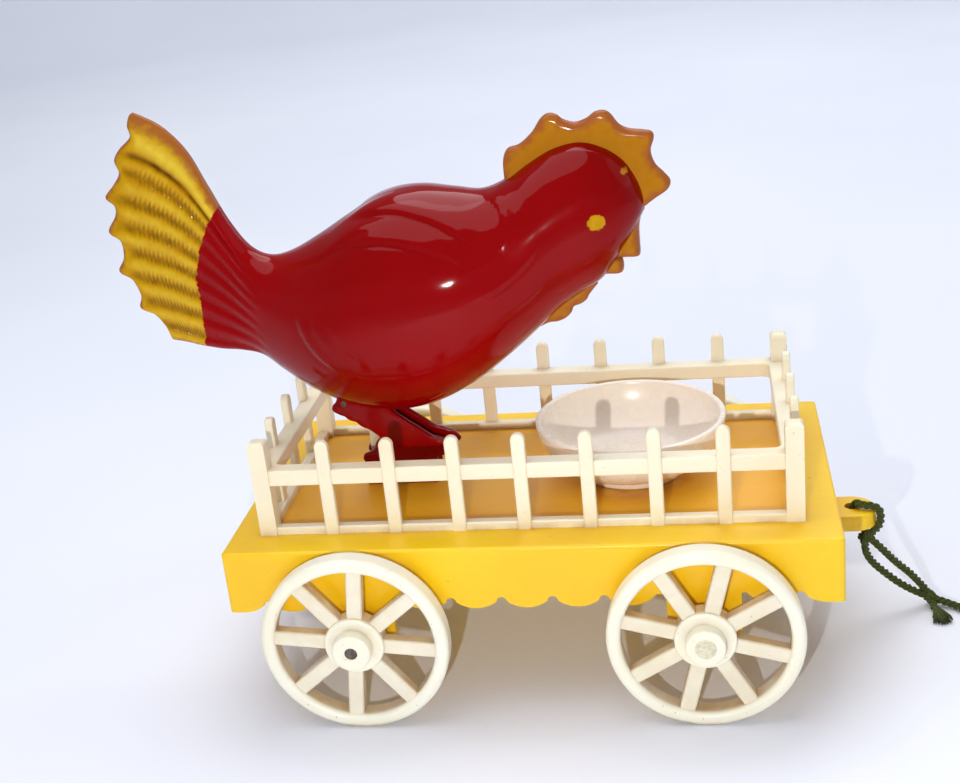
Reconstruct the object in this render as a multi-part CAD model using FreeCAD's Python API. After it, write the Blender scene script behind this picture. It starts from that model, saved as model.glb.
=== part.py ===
import FreeCAD, Part
import math
import os

# A pull-along toy: a hollow plastic rooster that pecks at a bowl as its four-wheeled cart rolls.
# +X points to the hitch end, +Z up, millimetres. Everything is laid out about the middle of the
# deck, standing on z = 0, and shifted along X at the end so that the toy's box is centred.

V = FreeCAD.Vector

# deck
DECK_LENGTH = 153.2
DECK_WIDTH = 86.8
DECK_TOP = 46.0
DECK_PLATE = 2.0
SKIRT_WALL = 1.8
SKIRT_BOTTOM = 29.3
SCALLOP_RISE = 3.0
SCALLOP_PITCH = 12.7
VALLEY_RADIUS = 1.3
EDGE_ROUND = 0.8
EAR_HALF = 9.0
OUTER_LOBE_FROM = 53.3
OUTER_LOBE_TO = 66.1

# hitch tab
TAB_BOTTOM = 28.8
TAB_TOP = 33.1
TAB_HALF = 6.35
TAB_CENTRE_X = 82.35
TAB_HOLE = 1.9

# wheels and axles
WHEEL_RADIUS = 23.8
AXLE_X = 43.1
AXLE_RADIUS = 1.6
AXLE_BORE = 1.67
WHEEL_FACE = 51.85
RIM_WIDTH = 6.0
RIM_INNER = 20.2
HUB_RADIUS = 5.2
FLANGE_RADIUS = 7.5
BOSS_RADIUS = 4.8
BOSS_PROUD = 3.3
SPOKES = 8
SPOKE_WIDTH = 4.0
FRONT_SPOKE_TURN = 14.5
REAR_SPOKE_TURN = 6.0
CRANK_THROW = 1.35

# fence
FENCE_HALF_LENGTH = 68.3
FENCE_HALF_WIDTH = 33.9
FENCE_HEIGHT = 25.6
FENCE_SHIFT = -0.2
PICKET = 3.5
PICKET_DEPTH = 2.2
POST = 4.4
PICKET_ROUND = 0.55
PICKET_PITCH = 16.45
END_PICKET_PITCH = 16.0
RAIL_SET_IN = 0.5
RAIL_CORNER = 2.0
TOP_RAIL = (13.6, 17.8, 4.6)
BOTTOM_RAIL = (0.0, 2.1, 2.6)
PEG_RADIUS = 1.2

# bowl
BOWL_X = 25.5
BOWL_RADIUS = 25.0
BOWL_RIM = 61.6
BOWL_FOOT = 13.6
BOWL_WALL = 1.5

# rooster pivot and drive
PIVOT = (-50.2, 69.8)
LINK = (-AXLE_X, 69.8)
PIN_RADIUS = 0.8
LEG_INNER = 2.4
LEG_OUTER = 4.5
WEB_INNER = 1.2
WEB_OUTER = 2.1
ROD_HALF_THICK = 0.9
ROD_HALF = 2.0
SHELL_WALL = 1.5
BELLY_SLOT_HALF = 5.2
BELLY_SLOT = (-58.0, -13.0)
TAIL_HALF = 3.0
COMB_HALF = 1.7
BEAK_HALF = 3.0

# body stations: x, lowest z, highest z, half width
STATIONS = (
    (-74.0, 86.0, 110.0, 5.0),
    (-64.0, 78.2, 110.6, 10.5),
    (-56.0, 73.1, 113.4, 15.0),
    (-48.0, 69.3, 117.4, 18.6),
    (-40.0, 67.1, 121.9, 20.8),
    (-32.0, 67.3, 126.0, 21.8),
    (-24.0, 69.2, 127.1, 22.0),
    (-16.0, 73.0, 125.8, 21.0),
    (-8.0, 78.6, 124.8, 19.0),
    (0.0, 85.4, 127.4, 16.6),
    (8.0, 91.2, 132.4, 14.8),
    (16.0, 96.8, 134.6, 13.4),
    (24.0, 101.8, 132.4, 11.2),
    (30.0, 108.2, 127.6, 8.0),
    (33.6, 114.6, 123.0, 4.0),
)

# pull cord
CORD = 2.0
COIL_MID = 11.0
COIL_LAYERS = 3
COIL_CENTRE = (131.0, 0.0)
MAIN_ROUTE = (
    (82.4, 0.0, 31.2),
    (82.4, 0.0, 35.2),
    (89.7, 0.0, 35.2),
    (90.6, 0.0, 28.4),
    (87.2, 0.1, 24.2),
    (86.4, 0.9, 19.6),
    (88.0, 2.1, 15.4),
    (91.4, 3.1, 11.4),
    (95.4, 3.8, 7.6),
    (99.4, 4.5, 4.7),
    (103.8, 5.3, 2.2),
    (108.6, 3.4, 1.05),
    (112.4, -0.4, 1.05),
    (117.2, -5.4, 1.05),
    (122.9, -8.7, 1.05),
)
TIED_ROUTE = (
    (82.4, 0.0, 31.0),
    (82.4, 0.0, 26.6),
    (87.2, 0.2, 24.5),
    (91.2, 1.4, 19.8),
    (94.6, 2.9, 15.4),
    (98.4, 4.1, 11.6),
    (101.4, 5.2, 7.4),
    (103.6, 6.2, 3.8),
    (105.0, 4.6, 1.6),
    (104.4, 0.8, 1.05),
    (104.5, -2.0, 1.05),
    (104.9, -5.0, 1.05),
)
HITCH_KNOT = (87.2, 0.1, 24.3)
FLOOR_KNOT = (104.4, 5.2, 2.2)
KNOT_RADIUS = 2.2


def box(x0, x1, y0, y1, z0, z1):
    return Part.makeBox(x1 - x0, y1 - y0, z1 - z0, V(x0, y0, z0))


def across(x, z, radius, y0, y1):
    """A cylinder along Y through (x, z)."""
    return Part.makeCylinder(radius, y1 - y0, V(x, y0, z), V(0, 1, 0))


def plate(start, steps, y0, y1):
    """An outline in the XZ plane, thickened from y0 to y1. A step is a line's end, or an arc's
    middle and end."""
    here = V(start[0], y0, start[1])
    edges = []
    for step in steps:
        points = [V(p[0], y0, p[1]) for p in step]
        if len(points) == 1:
            edges.append(Part.LineSegment(here, points[0]).toShape())
        else:
            edges.append(Part.Arc(here, points[0], points[1]).toShape())
        here = points[-1]
    return Part.Face(Part.Wire(edges)).extrude(V(0, y1 - y0, 0))


def polygon(points, y0, y1):
    return plate(points[0], [(p,) for p in points[1:]] + [(points[0],)], y0, y1)


def joined(shapes):
    return shapes[0].multiFuse(shapes[1:]).removeSplitter()


def fused(shapes):
    """Joined one after another, for shapes with lofted faces."""
    whole = shapes[0]
    for shape in shapes[1:]:
        whole = whole.fuse(shape)
    return whole


def mirrored_y(shape):
    return shape.mirror(V(0, 0, 0), V(0, 1, 0))


def turned(profile, x):
    """Points (radius, z) turned about the vertical through (x, 0)."""
    points = [V(x + r, 0, z) for r, z in profile]
    face = Part.Face(Part.makePolygon(points + [points[0]]))
    return face.revolve(V(x, 0, 0), V(0, 0, 1), 360)


def scallop_drop(offset):
    """Height of a lobe's edge above its lowest point, offset from its middle."""
    half = SCALLOP_PITCH / 2
    radius = (half**2 + SCALLOP_RISE**2) / (2 * SCALLOP_RISE)
    return radius - math.sqrt(radius**2 - offset**2)


def scallop_notch(x):
    """What is cut from the skirt between two lobes that meet at x."""
    half = SCALLOP_PITCH / 2
    low = SKIRT_BOTTOM
    below = low - 1.0
    quarter = scallop_drop(half / 2)
    steps = [
        ((x - half / 2, low + quarter), (x, low + SCALLOP_RISE)),
        ((x + half / 2, low + quarter), (x + half, low)),
        ((x + half, below),),
        ((x - half, below),),
        ((x - half, low),),
    ]
    notch = plate((x - half, low), steps, -DECK_WIDTH, DECK_WIDTH)
    return notch.fuse(across(x, low + SCALLOP_RISE - VALLEY_RADIUS, VALLEY_RADIUS,
                             -DECK_WIDTH, DECK_WIDTH))


def ear(x, side):
    """A hanging lug round an axle, with a bearing boss behind it."""
    outer = DECK_WIDTH / 2
    foot = WHEEL_RADIUS - EAR_HALF
    top = SKIRT_BOTTOM + 4.0
    steps = [
        ((x - EAR_HALF, WHEEL_RADIUS),),
        ((x, foot), (x + EAR_HALF, WHEEL_RADIUS)),
        ((x + EAR_HALF, top),),
        ((x - EAR_HALF, top),),
    ]
    lug = plate((x - EAR_HALF, top), steps, outer - SKIRT_WALL, outer)
    boss = across(x, WHEEL_RADIUS, 4.0, outer - SKIRT_WALL - 3.0, outer - SKIRT_WALL)
    lug = lug.fuse(boss)
    return lug if side > 0 else mirrored_y(lug)


def deck():
    half_l = DECK_LENGTH / 2
    half_w = DECK_WIDTH / 2
    body = box(-half_l, half_l, -half_w, half_w, SKIRT_BOTTOM, DECK_TOP)
    upright = [e for e in body.Edges if abs(e.Vertexes[0].Z - e.Vertexes[-1].Z) > 1]
    body = body.makeFillet(1.2, upright)
    top = [e for e in body.Edges if e.BoundBox.ZMin > DECK_TOP - 0.01]
    body = body.makeFillet(EDGE_ROUND, top)
    tab = tab_shape()
    hollow = box(-half_l + SKIRT_WALL, half_l - SKIRT_WALL, -half_w + SKIRT_WALL,
                 half_w - SKIRT_WALL, SKIRT_BOTTOM - 1, DECK_TOP - DECK_PLATE)
    body = body.cut(hollow).fuse(tab)
    valleys = [(i + 0.5) * SCALLOP_PITCH for i in range(-2, 2)]
    notches = [scallop_notch(x) for x in valleys]
    for side in (-1, 1):
        notches += [scallop_notch(side * OUTER_LOBE_TO)]
        notches += [gap_beside_ear(side, 31.75, AXLE_X - EAR_HALF)]
        notches += [gap_beside_ear(side, AXLE_X + EAR_HALF, OUTER_LOBE_FROM)]
    body = body.cut(Part.makeCompound(notches))
    body = joined([body] + [ear(x, side) for x in (-AXLE_X, AXLE_X) for side in (-1, 1)])
    for x in (-AXLE_X, AXLE_X):
        body = body.cut(across(x, WHEEL_RADIUS, AXLE_BORE, -DECK_WIDTH, DECK_WIDTH))
    return body.cut(Part.makeCompound(deck_openings()))


def gap_beside_ear(side, x0, x1):
    """A small relief between the last lobe and an ear."""
    low = SKIRT_BOTTOM
    reach = SCALLOP_PITCH / 2
    inner = side * (x0 if x0 < AXLE_X else x1)
    outer = side * (x1 if x0 < AXLE_X else x0)
    away = math.copysign(reach, inner - outer)
    quarter = scallop_drop(reach / 2)
    steps = [
        ((inner + away / 2, low + quarter), (inner, low + SCALLOP_RISE)),
        ((outer, low + SCALLOP_RISE),),
        ((outer, low - 1.0),),
        ((inner + away, low - 1.0),),
        ((inner + away, low),),
    ]
    return plate((inner + away, low), steps, -DECK_WIDTH, DECK_WIDTH)


def tab_shape():
    half_l = DECK_LENGTH / 2
    thick = TAB_TOP - TAB_BOTTOM
    round_end = Part.makeCylinder(TAB_HALF, thick, V(TAB_CENTRE_X, 0, TAB_BOTTOM))
    bar = box(half_l - 1.0, TAB_CENTRE_X, -TAB_HALF, TAB_HALF, TAB_BOTTOM, TAB_TOP)
    tab = bar.fuse(round_end).removeSplitter()
    rims = [e for e in tab.Edges if e.BoundBox.ZMin > TAB_TOP - 0.01 and e.BoundBox.XMax > half_l]
    rims = [e for e in rims if e.BoundBox.XMin > half_l - 1.5]
    tab = tab.makeFillet(EDGE_ROUND, rims)
    return tab.cut(Part.makeCylinder(TAB_HOLE, 20, V(TAB_CENTRE_X, 0, TAB_BOTTOM - 5)))


def deck_openings():
    low = DECK_TOP - 5
    slot_x = (LINK[0] - ROD_HALF - 1.4, LINK[0] + ROD_HALF + 0.7)
    cuts = [box(slot_x[0], slot_x[1], -1.6, 1.6, low, DECK_TOP + 1)]
    cuts.append(Part.makeCylinder(2.55, 10, V(BOWL_X, 0, low)))
    for x, y in fence_pegs():
        cuts.append(Part.makeCylinder(PEG_RADIUS + 0.05, 10, V(x + FENCE_SHIFT, y, low)))
    for side in (-1, 1):
        cuts.append(leg_peg(side, 0.05, low, DECK_TOP + 1))
    return cuts


def fence_pegs():
    x = FENCE_HALF_LENGTH - POST / 2
    y = FENCE_HALF_WIDTH - POST / 2
    return [(sx * x, sy * y) for sx in (-1, 1) for sy in (-1, 1)]


def leg_peg(side, grow, z0, z1):
    inner = LEG_INNER + 0.1 - grow
    outer = LEG_OUTER - 0.1 + grow
    y0, y1 = sorted((side * inner, side * outer))
    return box(-38.0 - grow, -30.0 + grow, y0, y1, z0, z1)


def picket(x, y, width, depth, facing):
    """An upright with a rounded top and softened edges, standing on the deck, its width along the
    fence."""
    shoulder = DECK_TOP + FENCE_HEIGHT - width / 2
    stick = box(x - width / 2, x + width / 2, y - depth / 2, y + depth / 2, DECK_TOP, shoulder)
    stick = stick.fuse(across(x, shoulder, width / 2, y - depth / 2, y + depth / 2)).removeSplitter()
    rims = [e for e in stick.Edges if e.BoundBox.YLength < 0.01 and e.BoundBox.ZMax > shoulder - 1]
    stick = stick.makeFillet(PICKET_ROUND, rims)
    if facing == "x":
        stick.rotate(V(x, y, 0), V(0, 0, 1), 90)
    return stick


def corner_post(x, y):
    half = POST / 2
    post = box(x - half, x + half, y - half, y + half, DECK_TOP, DECK_TOP + FENCE_HEIGHT)
    crown = [e for e in post.Edges if e.BoundBox.ZMin > DECK_TOP + FENCE_HEIGHT - 0.01]
    return post.makeFillet(1.1, crown)


def fence():
    outer_x = FENCE_HALF_LENGTH - RAIL_SET_IN
    outer_y = FENCE_HALF_WIDTH - RAIL_SET_IN
    shapes = []
    for low, high, depth in (TOP_RAIL, BOTTOM_RAIL):
        frame = box(-outer_x, outer_x, -outer_y, outer_y, DECK_TOP + low, DECK_TOP + high)
        inside = box(-outer_x + depth, outer_x - depth, -outer_y + depth, outer_y - depth,
                     DECK_TOP - 1, DECK_TOP + high + 1)
        upright = [e for e in inside.Edges if abs(e.Vertexes[0].Z - e.Vertexes[-1].Z) > 1]
        ring = frame.cut(inside.makeFillet(RAIL_CORNER, upright))
        rims = [e for e in ring.Edges if e.BoundBox.ZMin > DECK_TOP + 1 and e.BoundBox.ZLength < 0.01]
        shapes.append(ring.makeFillet(0.5, rims))
    depth = PICKET_DEPTH
    for i in range(-3, 4):
        for side in (-1, 1):
            y = side * (FENCE_HALF_WIDTH - depth / 2)
            shapes.append(picket(i * PICKET_PITCH, y, PICKET, depth, "y"))
    for i in range(-1, 2):
        for side in (-1, 1):
            x = side * (FENCE_HALF_LENGTH - depth / 2)
            shapes.append(picket(x, i * END_PICKET_PITCH, PICKET, depth, "x"))
    for x, y in fence_pegs():
        shapes.append(corner_post(x, y))
        shapes.append(Part.makeCylinder(PEG_RADIUS, DECK_PLATE + 0.6, V(x, y, DECK_TOP - DECK_PLATE - 0.6)))
    whole = joined(shapes)
    whole.translate(V(FENCE_SHIFT, 0, 0))
    return whole


def bowl_side(inset):
    """The bowl's flank from foot to rim as (radius, z), a quarter-ellipse swelling outwards."""
    steps = 14
    low = DECK_TOP + 2.4
    rise = BOWL_RIM - low
    spread = BOWL_RADIUS - BOWL_FOOT
    points = []
    for i in range(steps + 1):
        angle = math.radians(8 + 76 * i / steps)
        r = BOWL_FOOT - 1.0 + (spread + 1.0) * math.sin(angle) / math.sin(math.radians(84))
        fall = (1 - math.cos(angle)) - (1 - math.cos(math.radians(8)))
        z = low + rise * fall / (math.cos(math.radians(8)) - math.cos(math.radians(84)))
        points.append((r - inset, z))
    return points


def feed_bowl():
    outer = bowl_side(0.0)
    inner = [(r, z + 0.7) for r, z in bowl_side(BOWL_WALL)][:-1]
    inner.append((BOWL_RADIUS - BOWL_WALL, BOWL_RIM))
    floor_z = DECK_TOP + 2.6
    profile = [(0, DECK_TOP), (BOWL_FOOT, DECK_TOP)] + outer
    profile += [(BOWL_RADIUS - 0.4, BOWL_RIM + 0.5), (BOWL_RADIUS - BOWL_WALL + 0.4, BOWL_RIM + 0.5)]
    profile += list(reversed(inner))
    profile += [(inner[0][0] - 2.0, floor_z), (0, floor_z)]
    dish = turned(profile, BOWL_X)
    return dish.fuse(Part.makeCylinder(2.5, DECK_PLATE + 0.8, V(BOWL_X, 0, DECK_TOP - DECK_PLATE - 0.8)))


# a leg's back edge from the hock down to the foot, and its front edge from the foot up
LEG_BACK = (
    (-49.6, 74.0), (-51.7, 71.9), (-52.5, 70.2), (-53.5, 69.1), (-53.7, 67.9), (-52.2, 66.8),
    (-50.8, 66.2), (-49.6, 65.1), (-47.9, 64.5), (-46.4, 63.1), (-44.6, 62.2), (-42.9, 60.8),
    (-41.8, 59.5), (-43.0, 57.9), (-43.7, 56.1), (-45.0, 55.3), (-46.5, 54.7), (-47.0, 53.4),
    (-46.6, 52.0),
)
LEG_FRONT = (
    (-26.6, 50.0), (-26.9, 51.9), (-25.6, 53.5), (-22.3, 54.3), (-20.8, 55.6), (-22.3, 57.4),
    (-24.6, 58.5), (-27.2, 59.4), (-30.4, 61.9), (-34.3, 64.8), (-37.6, 68.2), (-39.2, 74.0),
)


def smooth_edge(points, y):
    line = Part.BSplineCurve()
    line.interpolate([V(x, y, z) for x, z in points])
    return line.toShape()


def leg(side):
    """A flat leg between its two flowing edges, with a peg through the deck."""
    y0, y1 = sorted((side * LEG_INNER, side * LEG_OUTER))
    corners = [LEG_BACK[-1], (LEG_BACK[-1][0], DECK_TOP), (LEG_FRONT[0][0], DECK_TOP), LEG_FRONT[0]]
    straight = [V(x, y0, z) for x, z in corners]
    edges = [smooth_edge(LEG_BACK, y0)]
    edges += [Part.LineSegment(a, b).toShape() for a, b in zip(straight, straight[1:])]
    edges.append(smooth_edge(LEG_FRONT, y0))
    top = [V(x, y0, z) for x, z in (LEG_FRONT[-1], LEG_BACK[0])]
    edges.append(Part.LineSegment(top[0], top[1]).toShape())
    shank = Part.Face(Part.Wire(edges)).extrude(V(0, y1 - y0, 0))
    shank = shank.fuse(leg_peg(side, 0.0, DECK_TOP - DECK_PLATE - 0.6, DECK_TOP + 2))
    return shank.cut(across(PIVOT[0], PIVOT[1], PIN_RADIUS + 0.02, -10, 10)).removeSplitter()


def body_loft(inset):
    wires = []
    stations = STATIONS if inset == 0 else STATIONS[1:-1]
    for x, low, high, half in stations:
        centre = V(x, 0, (low + high) / 2)
        rise = (high - low) / 2 - inset
        oval = Part.Ellipse(centre + V(0, 0, rise), centre + V(0, half - inset, 0), centre)
        wires.append(Part.Wire(oval.toShape()))
    return Part.makeLoft(wires, True, False)


TAIL_EDGE = (
    (-94.2, 150.6), (-97.8, 144.4), (-99.6, 141.6), (-103.2, 138.2), (-102.4, 135.2), (-107.4, 128.6),
    (-105.2, 123.6), (-108.3, 119.0), (-105.6, 112.6), (-107.3, 108.4), (-103.0, 103.0),
    (-103.2, 98.0), (-97.6, 94.8), (-95.8, 89.0), (-88.0, 86.8),
)
COMB_TIPS = ((0.7, 134.6), (10.0, 142.2), (23.6, 142.2), (35.1, 136.2), (38.6, 123.7))
COMB_VALLEYS = ((5.6, 135.4), (16.8, 139.2), (28.4, 137.0), (34.4, 130.0))


def tail_plate(y0, y1):
    steps = [(p,) for p in TAIL_EDGE[1:]]
    steps.append(((-76.0, 84.9), (-62.0, 80.0)))
    steps.append(((-60.0, 108.0),))
    steps.append(((-67.6, 111.0),))
    steps.append(((-79.4, 130.5), TAIL_EDGE[0]))
    return plate(TAIL_EDGE[0], steps, y0, y1)


def comb_plate(y0, y1):
    steps = []
    for valley, tip in zip(COMB_VALLEYS, COMB_TIPS[1:]):
        steps.append((valley, tip))
    steps.append(((33.2, 120.0),))
    steps.append(((24.0, 128.0), (12.0, 130.0)))
    steps.append(((-2.0, 124.0),))
    steps.append((COMB_TIPS[0],))
    return plate(COMB_TIPS[0], steps, y0, y1)


def beak_plate(y0, y1):
    points = [(31.8, 117.4), (31.4, 112.6), (30.7, 105.8), (26.2, 104.9), (26.0, 101.6), (22.0, 101.0),
              (19.0, 104.0), (24.0, 112.0)]
    return polygon(points, y0, y1)


def wattle_plate(y0, y1):
    points = [(19.4, 99.6), (17.9, 96.3), (15.3, 92.4), (11.7, 89.6), (6.2, 89.0), (7.0, 94.0), (14.0, 100.0)]
    return polygon(points, y0, y1)


def web_plate(outer):
    """The wall inside each half that carries the pivot and the link pin."""
    inside = box(-66.0, -8.0, WEB_INNER, WEB_OUTER, 60.0, 92.0).common(outer)
    lug = box(PIVOT[0], LINK[0], WEB_INNER, WEB_OUTER, PIVOT[1] - 2.2, PIVOT[1] + 8)
    ends = [across(x, z, 2.2, WEB_INNER, WEB_OUTER) for x, z in (PIVOT, LINK)]
    return fused([inside, lug] + ends)


def rooster_half(outer, inner):
    """The half on +Y. The other is its mirror image."""
    far = 60.0
    skin = outer.cut(inner).common(box(-200, 200, 0, far, 0, 200))
    skin = skin.cut(box(BELLY_SLOT[0], BELLY_SLOT[1], -1, BELLY_SLOT_HALF, 60, 88))
    trims = [tail_plate(0, TAIL_HALF), comb_plate(0, COMB_HALF), beak_plate(0, BEAK_HALF),
             wattle_plate(0, COMB_HALF)]
    trims = [t.cut(inner) for t in trims]
    half = fused([skin] + trims + [web_plate(outer)])
    half = half.cut(across(PIVOT[0], PIVOT[1], PIN_RADIUS + 0.06, -10, 10))
    return half.cut(across(LINK[0], LINK[1], PIN_RADIUS + 0.02, -10, 10))


def push_rod():
    """A flat strip hung on the link pin, with a stirrup round the crank."""
    sweep = CRANK_THROW + AXLE_RADIUS
    travel = 2 * CRANK_THROW
    window = sweep + 1.2
    low = WHEEL_RADIUS - sweep - 0.5
    high = WHEEL_RADIUS + sweep + travel + 0.6
    frame = 1.7
    y0, y1 = -ROD_HALF_THICK, ROD_HALF_THICK
    strip = box(LINK[0] - ROD_HALF, LINK[0] + ROD_HALF, y0, y1, high, LINK[1])
    stirrup = box(LINK[0] - window - frame, LINK[0] + window + frame, y0, y1, low - frame, high + frame)
    upright = [e for e in stirrup.Edges if abs(e.Vertexes[0].Y - e.Vertexes[-1].Y) > 1]
    stirrup = stirrup.makeFillet(1.5, upright)
    rod = joined([strip, stirrup, across(LINK[0], LINK[1], 2.4, y0, y1)])
    rod = rod.cut(box(LINK[0] - window, LINK[0] + window, y0 - 1, y1 + 1, low, high))
    return rod.cut(across(LINK[0], LINK[1], PIN_RADIUS + 0.08, -10, 10))


def rod_along(a, b, radius):
    return Part.makeCylinder(radius, (b - a).Length, a, b - a)


def crank_axle(end_y):
    """A wire axle with a small joggle in the middle, shown with the joggle up."""
    up = V(-AXLE_X, 0, WHEEL_RADIUS + CRANK_THROW)
    level = V(-AXLE_X, 0, WHEEL_RADIUS)
    points = [level + V(0, -end_y, 0), level + V(0, -7.0, 0), up + V(0, -3.6, 0), up + V(0, 3.6, 0),
              level + V(0, 7.0, 0), level + V(0, end_y, 0)]
    runs = [rod_along(a, b, AXLE_RADIUS) for a, b in zip(points, points[1:])]
    bends = [Part.makeSphere(AXLE_RADIUS, p) for p in points[1:-1]]
    return joined(runs + bends)


def wheel(x, side, blind, turn):
    """A spoked wheel on its axle, its face outwards."""
    z = WHEEL_RADIUS
    face = WHEEL_FACE
    rim = across(x, z, WHEEL_RADIUS, face - RIM_WIDTH, face)
    rim = rim.cut(across(x, z, RIM_INNER, face - RIM_WIDTH - 1, face + 1))
    rim = rim.makeFillet(1.4, [e for e in rim.Edges if len(e.Vertexes) == 1])
    spokes = []
    for i in range(SPOKES):
        bar = box(x + HUB_RADIUS - 1, x + RIM_INNER + 1, face - 4.6, face - 1.0, z - SPOKE_WIDTH / 2,
                  z + SPOKE_WIDTH / 2)
        long_edges = [e for e in bar.Edges if e.Length > 10]
        bar = bar.makeFillet(0.7, long_edges)
        bar.rotate(V(x, 0, z), V(0, 1, 0), turn + i * 360.0 / SPOKES)
        spokes.append(bar)
    flange = across(x, z, FLANGE_RADIUS, face - 5.4, face - 0.2)
    flange = flange.makeFillet(0.6, [e for e in flange.Edges if len(e.Vertexes) == 1])
    boss = across(x, z, BOSS_RADIUS, face - 1.0, face + BOSS_PROUD)
    lip = [e for e in boss.Edges if len(e.Vertexes) == 1 and e.BoundBox.YMin > face + 1]
    boss = boss.makeFillet(0.5, lip)
    hub = across(x, z, HUB_RADIUS, DECK_WIDTH / 2 + 0.5, face - 2)
    body = joined([rim, flange, boss, hub] + spokes)
    depth = face + (BOSS_PROUD - 2.0 if blind else BOSS_PROUD + 1)
    body = body.cut(across(x, z, AXLE_RADIUS + 0.02, 0, depth))
    return body if side > 0 else mirrored_y(body)


def route_tube(points, name):
    """A round tube along straight runs joined by tangent arcs. Prints its bend radii."""
    pts = [V(*p) for p in points]
    edges = []
    radii = []
    here = pts[0]
    length = 0.0
    for before, corner, after in zip(pts, pts[1:], pts[2:]):
        back = (before - corner)
        ahead = (after - corner)
        shorter = min(back.Length, ahead.Length)
        back.normalize()
        ahead.normalize()
        half_turn = (math.pi - back.getAngle(ahead)) / 2
        reach = 0.45 * shorter
        radius = reach / math.tan(half_turn)
        start = corner + back * reach
        end = corner + ahead * reach
        inward = back + ahead
        inward.normalize()
        middle = corner + inward * (radius / math.cos(half_turn) - radius)
        edges.append(Part.LineSegment(here, start).toShape())
        edges.append(Part.Arc(start, middle, end).toShape())
        length += (start - here).Length + radius * 2 * half_turn
        radii.append(round(radius, 1))
        here = end
    edges.append(Part.LineSegment(here, pts[-1]).toShape())
    length += (pts[-1] - here).Length
    path = Part.Wire(edges)
    section = Part.Wire(Part.Circle(pts[0], pts[1] - pts[0], CORD / 2).toShape())
    tube = path.makePipeShell([section], True, True)
    expected = math.pi * CORD**2 / 4 * length
    print(name, "length", round(length, 1), "radii", radii, "volume", round(tube.Volume / expected, 4))
    return tube


def coil():
    """The outer shape of the put-away turns: a ring three cords wide and as many high."""
    half = 1.5 * CORD
    centre = V(COIL_CENTRE[0], COIL_CENTRE[1], 0)
    height = CORD * (1 + (COIL_LAYERS - 1) * 0.9)
    ring = Part.makeCylinder(COIL_MID + half, height, centre)
    ring = ring.cut(Part.makeCylinder(COIL_MID - half, height, centre))
    rims = [e for e in ring.Edges if len(e.Vertexes) == 1]
    return ring.makeFillet(0.8, rims)


def build():
    outer = body_loft(0)
    inner = body_loft(SHELL_WALL)
    left = rooster_half(outer, inner)
    nodes = {
        "cart_deck": deck(),
        "fence": fence(),
        "feed_bowl": feed_bowl(),
        "left_leg": leg(1),
        "right_leg": leg(-1),
        "pivot_pin": across(PIVOT[0], PIVOT[1], PIN_RADIUS, -LEG_OUTER - 0.1, LEG_OUTER + 0.1),
        "rooster_left_shell": left,
        "rooster_right_shell": mirrored_y(left),
        "link_pin": across(LINK[0], LINK[1], PIN_RADIUS, -WEB_OUTER, WEB_OUTER),
        "push_rod": push_rod(),
        "rear_axle": crank_axle(WHEEL_FACE + 3.0),
        "front_axle": across(AXLE_X, WHEEL_RADIUS, AXLE_RADIUS, -WHEEL_FACE - 1.2, WHEEL_FACE + 1.2),
        "rear_left_wheel": wheel(-AXLE_X, 1, False, REAR_SPOKE_TURN),
        "rear_right_wheel": wheel(-AXLE_X, -1, False, REAR_SPOKE_TURN),
        "front_left_wheel": wheel(AXLE_X, 1, True, FRONT_SPOKE_TURN),
        "front_right_wheel": wheel(AXLE_X, -1, True, FRONT_SPOKE_TURN),
    }
    boxes = [shape.optimalBoundingBox() for shape in nodes.values()]
    middle = (min(b.XMin for b in boxes) + max(b.XMax for b in boxes)) / 2
    nodes["pull_cord"] = route_tube(MAIN_ROUTE, "pull_cord")
    nodes["tied_end"] = route_tube(TIED_ROUTE, "tied_end")
    nodes["hitch_knot"] = Part.makeSphere(KNOT_RADIUS, V(*HITCH_KNOT))
    nodes["floor_knot"] = Part.makeSphere(KNOT_RADIUS, V(*FLOOR_KNOT))
    nodes["cord_coil"] = coil()
    nodes["end_knot"] = Part.makeSphere(KNOT_RADIUS, V(COIL_CENTRE[0] - 6.2, COIL_CENTRE[1], KNOT_RADIUS))
    print("shift", round(-middle, 3))
    for shape in nodes.values():
        shape.translate(V(-middle, 0, 0))
    return nodes


os.makedirs("parts", exist_ok=True)
for node, shape in build().items():
    print(node, "valid", shape.isValid(), "solids", len(shape.Solids), "volume", round(shape.Volume, 1))
    shape.exportStep("parts/" + node + ".step")
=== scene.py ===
import math
from functools import cache

import bmesh
import bpy
import numpy as np
from mathutils import Matrix, Vector


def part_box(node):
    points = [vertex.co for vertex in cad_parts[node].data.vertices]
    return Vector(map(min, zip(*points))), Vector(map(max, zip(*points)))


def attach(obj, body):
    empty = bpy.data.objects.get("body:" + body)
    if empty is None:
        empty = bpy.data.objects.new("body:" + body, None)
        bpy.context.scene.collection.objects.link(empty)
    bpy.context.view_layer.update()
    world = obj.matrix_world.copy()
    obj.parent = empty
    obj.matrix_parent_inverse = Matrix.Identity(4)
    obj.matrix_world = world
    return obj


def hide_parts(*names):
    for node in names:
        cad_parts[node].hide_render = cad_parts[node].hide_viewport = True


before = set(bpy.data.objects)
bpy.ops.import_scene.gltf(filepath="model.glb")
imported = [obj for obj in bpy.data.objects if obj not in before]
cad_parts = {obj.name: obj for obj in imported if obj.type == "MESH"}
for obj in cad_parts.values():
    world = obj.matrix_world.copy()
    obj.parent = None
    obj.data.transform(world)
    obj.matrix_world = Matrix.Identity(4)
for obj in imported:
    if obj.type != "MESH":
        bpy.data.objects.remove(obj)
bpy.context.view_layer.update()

# Lengths below are millimetres about the middle of the cart's deck; in_row() turns them into the
# row's metres.
MM = 0.001
AXLE_ENDS = [corner.x for name in ("front_axle", "rear_axle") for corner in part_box(name)]
CART_MIDDLE = sum(AXLE_ENDS) / 4 / MM


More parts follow.
